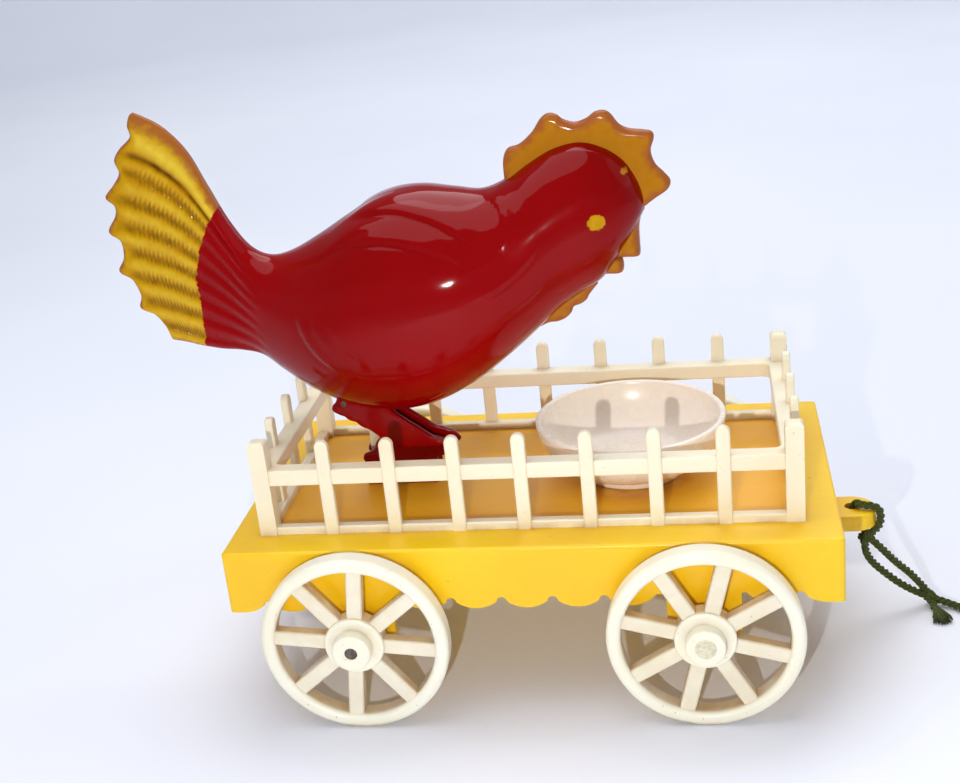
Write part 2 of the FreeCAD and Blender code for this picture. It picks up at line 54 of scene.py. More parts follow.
def in_row(points):
    """Cart millimetres to row metres: a shift along X, then a scale."""
    moved = np.asarray(points, float) + np.array([CART_MIDDLE, 0.0, 0.0])
    return moved * MM


# ------------------------ camera, floor and light

LENS_MM = 53.61
EYE = (46.5, -349.99, 206.58)
YAW, PITCH, ROLL = -0.1705, 0.3670, -0.1041


def make_camera():
    """The camera at EYE, turned by yaw, then pitch, then roll."""
    ahead = Vector((math.sin(YAW) * math.cos(PITCH), math.cos(YAW) * math.cos(PITCH), -math.sin(PITCH)))
    level = Vector((math.cos(YAW), -math.sin(YAW), 0))
    over = level.cross(ahead)
    right = math.cos(ROLL) * level + math.sin(ROLL) * over
    up = -math.sin(ROLL) * level + math.cos(ROLL) * over
    lens = bpy.data.cameras.new("camera")
    lens.sensor_width = 36.0
    lens.lens = LENS_MM
    lens.clip_start = 0.01
    camera = bpy.data.objects.new("camera", lens)
    bpy.context.scene.collection.objects.link(camera)
    turn = Matrix((right, up, -ahead)).transposed()
    camera.matrix_world = Matrix.Translation(in_row(EYE)) @ turn.to_4x4()
    bpy.context.scene.camera = camera


def area_light(name, place, aim, size, power, colour):
    """A round lamp at place, facing aim, both in cart millimetres. size is metres, power watts."""
    lamp = bpy.data.lights.new(name, "AREA")
    lamp.shape = "DISK"
    lamp.size = size
    lamp.energy = power
    lamp.color = colour
    holder = bpy.data.objects.new(name, lamp)
    bpy.context.scene.collection.objects.link(holder)
    start, end = Vector(in_row(place)), Vector(in_row(aim))
    holder.location = start
    holder.rotation_mode = "QUATERNION"
    holder.rotation_quaternion = (end - start).to_track_quat("-Z", "Y")


def make_lights():
    """A small hard flash beside the lens, soft lamps above and at the side, one for the far floor,
    and a pale room."""
    bpy.context.scene.view_settings.view_transform = "Standard"
    middle = (0, 0, 70)
    area_light("flash", (12.0, -346.0, 152.0), middle, 0.006, 0.56, (1.0, 0.99, 0.97))
    area_light("overhead", (-120, -40, 620), middle, 0.6, 1.65, (0.93, 0.95, 1.0))
    area_light("window", (520, 120, 420), middle, 0.5, 0.25, (0.90, 0.95, 1.0))
    area_light("far_lamp", (100, 850, 1150), (0, 750, 0), 1.2, 11.0, (0.93, 0.96, 1.0))
    world = bpy.data.worlds.new("pale_room")
    world.use_nodes = True
    bpy.context.scene.world = world
    sky = world.node_tree.nodes["Background"]
    sky.inputs["Color"].default_value = (0.86, 0.90, 1.0, 1)
    sky.inputs["Strength"].default_value = 0.32


def make_stage():
    """A round floor that curves up into a low wall far away: a profile (radius, z) turned about the
    upright through the cart."""
    flat, bend, top = 1400.0, 420.0, 620.0
    angles = np.linspace(0, math.pi / 2, 20)
    radii = np.concatenate([[0.0, 150.0, 400.0, 800.0], flat + bend * np.sin(angles), [flat + bend]])
    heights = np.concatenate([[0.0] * 4, bend * (1 - np.cos(angles)), [top]])
    around = np.linspace(0, 2 * math.pi, 96, endpoint=False)
    grid = np.stack([radii[:, None] * np.cos(around), radii[:, None] * np.sin(around),
                     heights[:, None] + 0 * around], -1)
    floor = mesh_piece("studio_floor", grid.reshape(-1, 3), grid_faces(len(radii), 96, wrap=True), 0.01)
    floor.data.materials.append(paper_white())


# ------------------------ meshes

def grid_faces(rows, cols, first=0, wrap=False):
    """Quads of a rows x cols grid of points numbered row by row; wrap joins the last column to the
    first."""
    across = cols if wrap else cols - 1
    r, c = np.meshgrid(np.arange(rows - 1), np.arange(across), indexing="ij")
    n = (c + 1) % cols
    quads = np.stack([r * cols + c, r * cols + n, (r + 1) * cols + n, (r + 1) * cols + c], -1)
    return quads.reshape(-1, 4) + first


def mesh_piece(name, points, faces, weld=0.0, outward=False):
    """A smooth mesh object from points in cart millimetres. weld merges points closer than that."""
    mesh = bpy.data.meshes.new(name)
    mesh.from_pydata(in_row(points).tolist(), [], np.asarray(faces).tolist())
    mesh.update()
    piece = bpy.data.objects.new(name, mesh)
    bpy.context.scene.collection.objects.link(piece)
    if weld or outward:
        tidy_mesh(mesh, weld * MM, outward)
    mesh.shade_smooth()
    return piece


def tidy_mesh(mesh, distance, outward):
    """Merges points closer than distance (metres), drops empty faces, and turns faces outward."""
    work = bmesh.new()
    work.from_mesh(mesh)
    if distance:
        bmesh.ops.remove_doubles(work, verts=work.verts, dist=distance)
    bmesh.ops.dissolve_degenerate(work, edges=work.edges, dist=1e-7)
    if outward:
        bmesh.ops.recalc_face_normals(work, faces=work.faces)
    work.to_mesh(mesh)
    work.free()


def store_values(piece, name, values):
    """Stores one number for each of the piece's points as an attribute."""
    made = piece.data.attributes.new(name, "FLOAT", "POINT")
    made.data.foreach_set("value", values.astype(np.float32))


def point_values(piece, name, function):
    """Stores function(x, y, z) of the piece's points, in cart millimetres, as a point attribute."""
    mesh = piece.data
    flat = np.empty(len(mesh.vertices) * 3)
    mesh.vertices.foreach_get("co", flat)
    places = flat.reshape(-1, 3) / MM - np.array([CART_MIDDLE, 0.0, 0.0])
    store_values(piece, name, function(places[:, 0], places[:, 1], places[:, 2]))


def through(knots, t):
    """A smooth line through the knots (Catmull-Rom), read at t from 0 to the last knot's number."""
    knots = np.asarray(knots, float)
    if knots.ndim == 1:
        knots = knots[:, None]
    padded = np.vstack([2 * knots[0] - knots[1], knots, 2 * knots[-1] - knots[-2]])
    cell = np.clip(np.floor(t).astype(int), 0, len(knots) - 2)
    f = (t - cell)[:, None]
    a, b, c, d = (padded[cell + i] for i in range(4))
    cubic = 3 * (b - c) + d - a
    return b + 0.5 * f * (c - a + f * (2 * a - 5 * b + 4 * c - d + f * cubic))


def smooth_step(low, high, value):
    """0 at low, 1 at high, with a smooth cubic between; low above high turns it round."""
    t = np.clip((value - low) / (high - low), 0, 1)
    return t * t * (3 - 2 * t)


# ------------------------ materials

class Shader:
    """A small helper round one material's nodes."""

    def __init__(self, name):
        self.material = bpy.data.materials.new(name)
        self.material.use_nodes = True
        self.tree = self.material.node_tree
        self.surface = self.tree.nodes["Principled BSDF"]
        self.coords = self.tree.nodes.new("ShaderNodeTexCoord").outputs["Object"]

    def node(self, kind, **settings):
        made = self.tree.nodes.new("ShaderNode" + kind)
        for key, value in settings.items():
            setattr(made, key, value)
        return made

    def link(self, source, target):
        self.tree.links.new(source, target)

    def noise(self, scale, detail=3.0, roughness=0.5, stretch=None):
        """Noise over the object, scale in cells a metre; stretch scales its three axes."""
        texture = self.node("TexNoise")
        texture.inputs["Scale"].default_value = scale
        texture.inputs["Detail"].default_value = detail
        texture.inputs["Roughness"].default_value = roughness
        source = self.coords
        if stretch:
            mapping = self.node("Mapping")
            mapping.inputs["Scale"].default_value = stretch
            self.link(source, mapping.inputs["Vector"])
            source = mapping.outputs["Vector"]
        self.link(source, texture.inputs["Vector"])
        return texture.outputs["Fac"]

    def ramp(self, value, stops):
        """A colour ramp with (position, colour) stops."""
        made = self.node("ValToRGB")
        bar = made.color_ramp
        while len(bar.elements) < len(stops):
            bar.elements.new(0.5)
        for element, (position, colour) in zip(bar.elements, stops):
            element.position = position
            element.color = tuple(colour) + (1,) if len(colour) == 3 else colour
        self.link(value, made.inputs["Fac"])
        return made.outputs["Color"]

    def grey(self, value, low, high, out_low=0.0, out_high=1.0):
        """value mapped from low..high to out_low..out_high and clamped."""
        made = self.node("MapRange", clamp=True)
        made.inputs["From Min"].default_value = low
        made.inputs["From Max"].default_value = high
        made.inputs["To Min"].default_value = out_low
        made.inputs["To Max"].default_value = out_high
        self.link(value, made.inputs["Value"])
        return made.outputs["Result"]

    def math(self, operation, a, b=None):
        made = self.node("Math", operation=operation)
        for socket, value in zip(made.inputs, (a, b)):
            if value is None:
                continue
            if isinstance(value, (int, float)):
                socket.default_value = value
            else:
                self.link(value, socket)
        return made.outputs["Value"]

    def mix(self, factor, first, second):
        """Colours mixed by a factor; a colour is a socket or three numbers."""
        made = self.node("Mix", data_type="RGBA")
        sockets = (made.inputs[0], made.inputs[6], made.inputs[7])
        for socket, value in zip(sockets, (factor, first, second)):
            if isinstance(value, (tuple, list)):
                socket.default_value = tuple(value) + (1,)
            elif isinstance(value, (int, float)):
                socket.default_value = value
            else:
                self.link(value, socket)
        return made.outputs[2]

    def attribute(self, name):
        made = self.node("Attribute", attribute_name=name)
        return made.outputs["Fac"]

    def bump(self, height, strength, distance):
        made = self.node("Bump")
        made.inputs["Strength"].default_value = strength
        made.inputs["Distance"].default_value = distance
        self.link(height, made.inputs["Height"])
        self.link(made.outputs["Normal"], self.surface.inputs["Normal"])

    def set(self, **values):
        for key, value in values.items():
            socket = self.surface.inputs[key.replace("_", " ")]
            if isinstance(value, (int, float, tuple)):
                socket.default_value = value
            else:
                self.link(value, socket)


def hue(red, green, blue):
    """A colour given as 0-255 screen values, as the linear values a shader takes."""
    def linear(v):
        v /= 255
        return v / 12.92 if v <= 0.04045 else ((v + 0.055) / 1.055) ** 2.4
    return (linear(red), linear(green), linear(blue))


def paper_white():
    """The floor: matt, nearly white, with a slow drift."""
    s = Shader("pale_paper")
    s.set(Base_Color=s.ramp(s.noise(3.0), [(0.3, hue(233, 235, 243)), (0.7, hue(240, 241, 249))]))
    s.set(Roughness=0.9)
    s.surface.inputs["Specular IOR Level"].default_value = 0.2
    return s.material


def moulded_plastic(name, light, dark, roughness, grime_and_shade=None, glow=0.0, aged_and_shaded=False, waves=0.22,
                    shaded_recesses=False):
    """Injection-moulded plastic: slow drift between two tones, fine pits, faint scuffs, and darkening in
    corners, partly grime and partly painted shade. A flag darkens the deck inside the fence to amber,
    partly aging and partly painted shade, a flag browns a wheel's recesses as painted shade, and waves is
    how uneven the surface is."""
    s = Shader(name)
    drift = s.grey(s.noise(26.0, 4.0), 0.35, 0.68)
    colour = s.mix(drift, light, dark)
    # The deck's floor inside the fence painted darker amber: partly aging, partly painted shade.
    if aged_and_shaded:
        colour = s.mix(yard_amber_and_shade(s), colour, hue(234, 170, 40))
    # A wheel's recesses painted tan-brown as painted shade.
    if shaded_recesses:
        colour = s.mix(wheel_recess_shade(s), colour, hue(206, 172, 122))
    if grime_and_shade:
        # Ambient occlusion darkens corners, creases and undersides: partly grime, partly painted shade.
        corner_shade = s.node("AmbientOcclusion")
        corner_shade.inputs["Distance"].default_value = 0.004
        corner_shade.samples = 6
        depth = s.grey(corner_shade.outputs["AO"], 0.25, 0.85, 1.0, 0.0)
        patchy = s.math("MULTIPLY", depth, s.grey(s.noise(160.0, 3.0), 0.3, 0.62))
        colour = s.mix(s.math("MULTIPLY", patchy, 0.75), colour, grime_and_shade)
    specks = s.grey(s.noise(900.0, 2.0), 0.735, 0.76)
    colour = s.mix(s.math("MULTIPLY", specks, 0.5), colour, grime_and_shade or dark)
    s.set(Base_Color=colour)
    scuffs = s.noise(240.0, 3.0, 0.6)
    s.set(Roughness=s.grey(scuffs, 0.3, 0.75, roughness - 0.06, roughness + 0.12))
    s.surface.inputs["IOR"].default_value = 1.52
    if glow:
        s.surface.inputs["Subsurface Weight"].default_value = glow
        s.surface.inputs["Subsurface Radius"].default_value = (0.004, 0.0025, 0.0012)
        s.surface.inputs["Subsurface Scale"].default_value = 1.0
    s.bump(s.noise(70.0, 3.0), waves, 0.0006)
    return s.material


# Half the length and half the width of the deck inside the fence.
YARD_LONG, YARD_WIDE = 66.5, 32.5


def yard_amber_and_shade(s):
    """1 on the deck's floor inside the fence and 0 outside it, with a cloudy edge: where the deck is painted
    darker amber, partly aging and partly painted shade inside the fence.
    """
    place = s.node("SeparateXYZ")
    s.link(s.coords, place.inputs["Vector"])
    cloud = s.math("MULTIPLY", s.math("SUBTRACT", s.noise(120.0, 4.0, 0.6), 0.5), 0.006)
    from_middle = s.math("ABSOLUTE", s.math("SUBTRACT", place.outputs["X"], CART_MIDDLE * MM))
    sideways = s.math("ABSOLUTE", place.outputs["Y"])
    along_x = s.grey(s.math("ADD", from_middle, cloud), (YARD_LONG - 1) * MM, (YARD_LONG + 1) * MM, 1.0, 0.0)
    along_y = s.grey(s.math("ADD", sideways, cloud), (YARD_WIDE - 1) * MM, (YARD_WIDE + 1) * MM, 1.0, 0.0)
    raised = s.grey(place.outputs["Z"], (DECK_TOP - 0.8) * MM, (DECK_TOP - 0.3) * MM)
    cover = s.math("MULTIPLY", s.math("MULTIPLY", along_x, along_y), raised)
    return s.math("MULTIPLY", cover, s.grey(s.noise(45.0, 4.0, 0.6), 0.25, 0.7, 0.72, 1.0))


def wheel_recess_shade(s):
    """1 on a wheel inside its rim and behind its spokes' faces, thinned by a cloud, and 0 elsewhere: where
    the wheel is painted tan-brown as shade in its recesses.
    """
    place = s.node("SeparateXYZ")
    s.link(s.coords, place.inputs["Vector"])
    from_middle = s.math("ABSOLUTE", s.math("SUBTRACT", place.outputs["X"], CART_MIDDLE * MM))
    out = s.math("SUBTRACT", from_middle, AXLE_X * MM)
    up = s.math("SUBTRACT", place.outputs["Z"], AXLE_HEIGHT * MM)
    reach = s.math("SQRT", s.math("ADD", s.math("MULTIPLY", out, out), s.math("MULTIPLY", up, up)), 0)
    inside = s.grey(reach, RIM_INNER * MM, (RIM_INNER + 0.5) * MM, 1.0, 0.0)
    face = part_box("front_left_wheel")[1].y
    behind = s.grey(s.math("ABSOLUTE", place.outputs["Y"]), face - 5.2 * MM, face - 3.8 * MM, 1.0, 0.0)
    cloud = s.grey(s.noise(150.0, 4.0, 0.6), 0.3, 0.65, 0.35, 0.85)
    return s.math("MULTIPLY", s.math("MULTIPLY", inside, behind), cloud)


def drawn_wire():
    """Steel wire with patches of dull rust."""
    s = Shader("drawn_steel_wire")
    rust = s.grey(s.noise(420.0, 4.0, 0.6), 0.45, 0.62)
    s.set(Base_Color=s.mix(rust, hue(118, 110, 100), hue(74, 52, 36)))
    s.set(Metallic=s.grey(rust, 0, 1, 1.0, 0.25), Roughness=s.grey(rust, 0, 1, 0.34, 0.7))
    s.bump(s.noise(900.0, 2.0), 0.3, 0.0003)
    return s.material


RED = hue(152, 0, 6)
RED_DEEP = hue(134, 0, 0)
# Gold tones (dark, mid, pale): the dark one is painted shade in grooves, the pale one a painted highlight on
# raised relief.
GOLD = (hue(100, 58, 0), hue(200, 148, 2), hue(234, 200, 60))
BROWN_GOLD = (hue(120, 62, 0), hue(182, 116, 2), hue(200, 140, 40))


def glossy_red(name, painted=None):
    """Deep red glossy plastic. painted, three tones of gold, lays them where the attribute
    paint_edge is above 0, by the attribute relief: the dark tone in the grooves is painted shade and the
    pale one on raised relief a painted highlight; worn to red along the rims."""
    s = Shader(name)
    drift = s.grey(s.noise(18.0, 3.0), 0.35, 0.65)
    colour = s.mix(drift, RED, RED_DEEP)
    if painted:
        ragged = s.math("MULTIPLY", s.math("SUBTRACT", s.noise(700.0, 4.0, 0.6), 0.5), 1.8)
        edge = s.math("ADD", s.attribute("paint_edge"), ragged)
        cover = s.grey(edge, -0.12, 0.12)
        uneven = s.math("MULTIPLY", s.math("SUBTRACT", s.noise(520.0), 0.5), 0.35)
        relief = s.math("ADD", s.attribute("relief"), uneven)
        # The relief picks the gold's tone: painted shade in the grooves, a painted highlight on the raised
        # parts.
        gold = s.ramp(s.grey(relief, -0.45, 0.55), list(zip((0.0, 0.45, 1.0), painted)))
        blotch = s.grey(s.noise(110.0, 4.0, 0.6), 0.45, 0.75)
        gold = s.mix(s.math("MULTIPLY", blotch, 0.3), gold, hue(180, 118, 6))
        patchy = s.math("MULTIPLY", s.math("SUBTRACT", s.noise(400.0, 4.0), 0.5), 1.6)
        rim = s.math("ADD", s.attribute("rim"), patchy)
        worn = s.grey(rim, 0.25, 0.95, 1.0, 0.0)
        gold = s.mix(s.math("MULTIPLY", worn, 0.8), gold, hue(162, 82, 46))
        colour = s.mix(cover, colour, gold)
        s.set(Roughness=s.grey(cover, 0, 1, 0.07, 0.13))
    else:
        s.set(Roughness=s.grey(s.noise(210.0, 3.0), 0.3, 0.7, 0.1, 0.2))
    s.set(Base_Color=colour)
    s.surface.inputs["IOR"].default_value = 1.5
    s.surface.inputs["Specular IOR Level"].default_value = 0.15
    s.bump(s.noise(85.0, 2.0), 0.16, 0.0008)
    return s.material


# ------------------------ pull cord

FRAYED_FIBRES = 110
# The strands stand a little proud of the 2 mm cord. Lengths are metres.
CORD_MM, DECLARED_DIAMETER = 2.2, 0.002
COIL_CENTRE = (131.0, 0.0)
MAIN_ROUTE = (
    (82.4, 0.0, 31.2),
    (82.6, -0.5, 34.6),
    (85.0, -2.4, 34.4),
    (87.6, -3.1, 34.5),
    (89.5, -3.0, 33.2),
    (89.5, -2.8, 29.2),
    (88.3, -1.6, 26.6),
    (86.0, -0.2, 24.2),
    (85.8, 0.8, 19.6),
    (87.6, 2.1, 15.4),
    (91.2, 3.1, 11.4),
    (95.2, 3.8, 7.6),
    (99.2, 4.5, 4.7),
    (103.4, 5.3, 2.3),
    (108.4, 3.4, 1.15),
    (112.4, -0.4, 1.15),
    (117.2, -5.4, 1.15),
    (122.9, -8.7, 1.15),
)
TIED_ROUTE = (
    (82.4, 0.2, 31.0),
    (82.6, 0.8, 27.8),
    (84.9, 1.8, 26.8),
    (86.4, 1.0, 23.9),
    (90.8, 1.4, 19.0),
    (94.2, 2.9, 14.5),
    (98.0, 4.1, 10.6),
    (101.0, 5.2, 6.6),
    (103.0, 6.2, 3.6),
    (103.9, 4.6, 1.7),
    (104.1, 2.4, 1.3),
    (104.2, 1.2, 1.2),
)
HITCH_KNOT = (86.0, 0.1, 23.7)
FLOOR_KNOT = (103.6, 4.9, 2.4)
END_KNOT = (124.8, 0.0, 2.2)


def coil_turns():
    """Neat turns round the coil's centre: three rings outwards on the floor, three back inwards
    on top, and the last into the middle. Each turn holds one radius and steps over near its end."""
    steps = 14
    rings = [(11.0, 1.05), (13.0, 1.05), (12.9, 2.95), (10.9, 2.95), (9.0, 2.95), (9.0, 1.05)]
    start = math.radians(250)
    points = []
    for turn, (radius, height) in enumerate(rings):
        after = rings[min(turn + 1, len(rings) - 1)]
        for k in range(steps):
            blend = smooth_step(0.72, 1.0, k / steps)
            r = radius + (after[0] - radius) * blend
            z = height + (after[1] - height) * blend
            angle = start + 2 * math.pi * k / steps
            x, y = COIL_CENTRE[0] + r * math.cos(angle), COIL_CENTRE[1] + r * math.sin(angle)
            points.append((x, y, z))
    return points


def cord_curve(name, route):
    """A NURBS line with the route's points as its control points."""
    curve = bpy.data.curves.new(name, "CURVE")
    curve.dimensions = "3D"
    spline = curve.splines.new("NURBS")
    spline.points.add(len(route) - 1)
    for point, place in zip(spline.points, in_row(route)):
        point.co = (*place, 1.0)
    spline.order_u = 3
    spline.use_endpoint_u = True
    spline.resolution_u = 8
    line = bpy.data.objects.new(name, curve)
    bpy.context.scene.collection.objects.link(line)
    return line


def centreline(line):
    """The cord's own line as points in cart millimetres, read from its curve."""
    mesh = bpy.data.meshes.new_from_object(line)
    flat = np.empty(len(mesh.vertices) * 3)
    mesh.vertices.foreach_get("co", flat)
    bpy.data.meshes.remove(mesh)
    points = flat.reshape(-1, 3) / MM - np.array([CART_MIDDLE, 0.0, 0.0])
    steps = np.linalg.norm(np.diff(points, axis=0), axis=1)
    return points[np.concatenate([[True], steps > 0.05])]


def along(line, spacing):
    """Points every spacing millimetres along a line, with a frame that turns as little as it can.
    Returns the points, two unit normals at each, and the distance run."""
    run = np.concatenate([[0], np.cumsum(np.linalg.norm(np.diff(line, axis=0), axis=1))])
    keep = np.concatenate([[True], np.diff(run) > 1e-9])
    line, run = line[keep], run[keep]
    count = max(4, int(run[-1] / spacing))
    places = np.linspace(0, run[-1], count)
    points = np.stack([np.interp(places, run, line[:, i]) for i in range(3)], 1)
    ahead = np.gradient(points, axis=0)
    ahead /= np.linalg.norm(ahead, axis=1)[:, None]
    side = np.empty_like(points)
    first = np.cross(ahead[0], (0.13, 0.99, 0.05))
    side[0] = first / np.linalg.norm(first)
    for i in range(1, count):
        moved = side[i - 1] - ahead[i] * np.dot(side[i - 1], ahead[i])
        side[i] = moved / np.linalg.norm(moved)
    return points, side, np.cross(ahead, side), places


def twisted_rope(name, line, spacing=0.34, strands=3, lay=5.0, radius=CORD_MM / 2):
    """Strands wound round the line: each is a round tube whose own middle circles the line once
    every lay millimetres, with a slightly hairy radius."""
    points, side, other, run = along(line, spacing)
    around = 9
    strand_radius = radius * 0.5
    orbit = radius - strand_radius
    ring = np.linspace(0, 2 * math.pi, around, endpoint=False)
    all_points, all_faces = [], []
    for strand in range(strands):
        turn = -2 * math.pi * (run / lay + strand / strands)
        out = side * np.cos(turn)[:, None] + other * np.sin(turn)[:, None]
        middle = points + out * orbit
        swell = strand_radius * (1 + 0.05 * np.sin(run * 5.1 + strand * 2.0))
        slant = turn[:, None] + ring[None, :]
        tube = middle[:, None, :] + swell[:, None, None] * (
            side[:, None, :] * np.cos(slant)[..., None] + other[:, None, :] * np.sin(slant)[..., None])
        first = sum(len(p) for p in all_points)
        all_points.append(tube.reshape(-1, 3))
        all_faces.append(grid_faces(len(points), around, first, wrap=True))
        for number, end in enumerate((middle[0], middle[-1])):
            base = first + number * (len(points) - 1) * around
            hub = sum(len(p) for p in all_points)
            all_points.append(end[None, :])
            ids = base + np.arange(around)
            nxt = base + (np.arange(around) + 1) % around
            pair = (nxt, ids) if number == 0 else (ids, nxt)
            all_faces.append(np.stack([np.full(around, hub), *pair, np.full(around, hub)], 1))
    faces = [list(dict.fromkeys(face)) for block in all_faces for face in block.tolist()]
    rope = mesh_piece(name, np.vstack(all_points), faces_array(faces))
    rope.data.materials.append(cotton_green())
    return rope


def faces_array(faces):
    """Faces as a list whose items may have three or four corners."""
    holder = np.empty(len(faces), dtype=object)
    for number, face in enumerate(faces):
        holder[number] = face
    return holder


@cache
def cotton_green():
    """Twisted cotton yarn: dark green with paler dusty fibres, rough and slightly fuzzy. Made
    once and shared."""
    s = Shader("green_cotton")
    fibre = s.noise(2600.0, 3.0, 0.7, (1.0, 1.0, 2.2))
    tone = s.ramp(fibre, [(0.3, hue(34, 40, 10)), (0.55, hue(72, 82, 26)), (0.8, hue(112, 120, 58))])
    s.set(Base_Color=tone, Roughness=0.92)
    s.surface.inputs["Sheen Weight"].default_value = 0.15
    s.surface.inputs["Specular IOR Level"].default_value = 0.15
    s.bump(fibre, 0.8, 0.0002)
    return s.material


def overhand_knot(name, centre, size, turn):
    """A small knot: three loops of cord lapped round a lump, drawn as a trefoil line whose height
    swings as it circles."""
    t = np.linspace(0, 2 * math.pi, 90)
    reach = size * (0.46 + 0.2 * np.cos(3 * t))
    x = reach * np.cos(2 * t)
    y = reach * np.sin(2 * t)
    z = size * 0.36 * np.sin(3 * t)
    c, s = math.cos(turn), math.sin(turn)
    line = np.stack([c * x - s * z, y, s * x + c * z], 1) + np.array(centre)
    return twisted_rope(name, line, 0.3, 3, 3.6, CORD_MM / 2 * 0.92)


def frayed_end(name, centre, heading):
    """Loose yarns that fan out from the cord's cut end: each is a thin bent fibre."""
    rng = np.random.default_rng(7)
    around = 5
    steps = 9
    ring = np.linspace(0, 2 * math.pi, around, endpoint=False)
    t = np.linspace(0, 1, steps)
    points, faces = [], []
    for _ in range(FRAYED_FIBRES):
        spread = rng.uniform(-0.33, 0.33)
        length = rng.uniform(6.8, 8.6) - 2.2 * abs(spread)
        angle = heading + spread
        bend = rng.normal(0, 0.08)
        direction = angle + bend * t
        x = centre[0] + np.cumsum(np.cos(direction)) * length / steps
        y = centre[1] + np.cumsum(np.sin(direction)) * length / steps
        sag = rng.uniform(-0.7, 0.7) + rng.uniform(-0.5, 0.7) * t - 0.4 * t * t
        z = np.maximum(0.14, centre[2] + sag)
        middle = np.stack([x, y, z], 1)
        thick = rng.uniform(0.2, 0.36) * (1 - 0.35 * t)
        across = np.stack([-np.sin(direction), np.cos(direction), 0 * t], 1)
        sideways = across[:, None, :] * np.cos(ring)[None, :, None]
        upwards = np.array([0, 0, 1.0]) * np.sin(ring)[None, :, None]
        tube = middle[:, None, :] + thick[:, None, None] * (sideways + upwards)
        faces.append(grid_faces(steps, around, sum(len(p) for p in points), wrap=True))
        points.append(tube.reshape(-1, 3))
    tuft = mesh_piece(name, np.vstack(points), np.vstack(faces))
    tuft.data.materials.append(cotton_green())
    return tuft


def make_cords():
    """Knots, both ropes and the tuft."""
    knots = [
        overhand_knot("hitch_knot_cord", HITCH_KNOT, 2.0, 0.5),
        overhand_knot("floor_knot_cord", FLOOR_KNOT, 1.5, 1.2),
        overhand_knot("end_knot_cord", END_KNOT, 2.7, 0.2),
    ]
    for knot, node in zip(knots, ("hitch_knot", "floor_knot", "end_knot")):
        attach(knot, "cart")
        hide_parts(node)
    lead_in = [(125.6, -3.4, 1.3), (124.9, -1.2, 2.0)]
    main_points = centreline(cord_curve("pull_cord_line", list(MAIN_ROUTE) + coil_turns() + lead_in))
    tied_points = centreline(cord_curve("tied_end_line", TIED_ROUTE))
    for spare in ("pull_cord_line", "tied_end_line"):
        bpy.data.objects.remove(bpy.data.objects[spare])
    for name, line, nodes in (("pull_cord_rope", main_points, ("pull_cord", "cord_coil")),
                              ("tied_end_rope", tied_points, ("tied_end",))):
        rope = twisted_rope(name, line)
        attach(rope, "cart")
        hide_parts(*nodes)
    tuft = frayed_end("frayed_cotton", (104.1, 2.0, 1.25), math.radians(-77))
    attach(tuft, "cart")



# ------------------------ rooster

# Cross-sections from the tail's back edge to the face: upper point (x, z), lower point (x, z), half
# width, and how square the section is (2 is an oval).
SECTIONS = np.array((
    (-94.2, 150.4, -95.9, 89.2, 1.5, 6.0),
    (-88.3, 145.8, -91.8, 88.3, 1.9, 5.0),
    (-83.2, 139.4, -87.6, 87.1, 2.4, 4.5),
    (-79.4, 130.4, -82.0, 85.9, 3.1, 3.8),
    (-75.2, 120.4, -76.5, 85.3, 4.5, 3.0),
    (-70.8, 113.5, -70.6, 83.8, 7.0, 2.4),
    (-65.6, 110.8, -65.0, 79.3, 10.0, 2.15),
    (-59.6, 111.8, -58.6, 74.6, 13.6, 2.05),
    (-51.6, 115.7, -51.0, 70.6, 17.4, 2.0),
    (-43.0, 120.6, -42.6, 68.0, 20.2, 2.0),
    (-33.6, 125.4, -33.6, 67.3, 21.7, 2.0),
    (-24.5, 126.8, -24.0, 69.2, 22.0, 2.0),
    (-15.4, 125.6, -14.0, 74.0, 21.0, 2.0),
    (-8.2, 124.7, -5.0, 80.5, 19.0, 2.0),
    (-1.6, 127.0, 3.4, 87.4, 16.6, 2.0),
    (4.6, 131.0, 10.4, 93.4, 14.8, 2.0),
    (10.8, 134.2, 16.0, 97.0, 13.6, 2.0),
    (17.5, 135.4, 20.6, 99.8, 12.6, 2.0),
    (23.4, 133.6, 23.6, 103.2, 11.2, 2.0),
    (28.0, 130.2, 26.0, 106.8, 9.2, 2.0),
    (31.0, 125.4, 28.6, 110.4, 6.4, 2.0),
    (32.4, 121.0, 30.8, 114.2, 3.5, 2.0),
    (32.5, 117.4, 32.5, 117.2, 0.2, 2.0),
))
# The tail's scalloped back edge, top to bottom.
TAIL_EDGE = np.array((
    (-94.2, 150.8), (-96.6, 149.9), (-97.8, 147.2), (-97.6, 144.3), (-101.0, 141.4),
    (-103.0, 138.5), (-102.3, 135.2), (-104.4, 132.2), (-107.3, 129.0), (-105.3, 126.8),
    (-105.5, 124.0), (-108.2, 119.8), (-105.4, 117.2), (-105.4, 112.6), (-107.4, 108.9),
    (-104.2, 106.6), (-102.6, 102.0), (-103.4, 98.5), (-99.8, 96.9), (-97.2, 93.4),
    (-96.1, 89.2),
))
WALL = 1.5
SLOT_HALF = 5.2
SLOT_FROM, SLOT_TO = -57.5, -13.0
TAIL_ROWS, BODY_ROWS, COLUMNS = 44, 8, 168
BARB_RUN, BARB_PITCH = 8.2, 1.15


def section_rows():
    """Where along the sections the rows stand: close together in the tail, and closest at its
    edge, where the blade rounds off."""
    rows = [np.linspace(0, 1, 12, endpoint=False) ** 2 * 0.25]
    rows.append(0.25 + 0.75 * np.linspace(0, 1, 26, endpoint=False))
    for knot in range(1, 5):
        rows.append(knot + np.linspace(0, 1, TAIL_ROWS - 8 * knot, endpoint=False))
    for knot in range(5, len(SECTIONS) - 1):
        rows.append(knot + np.linspace(0, 1, BODY_ROWS, endpoint=False))
    last = len(SECTIONS) - 1.0
    return np.concatenate(rows + [[last]])


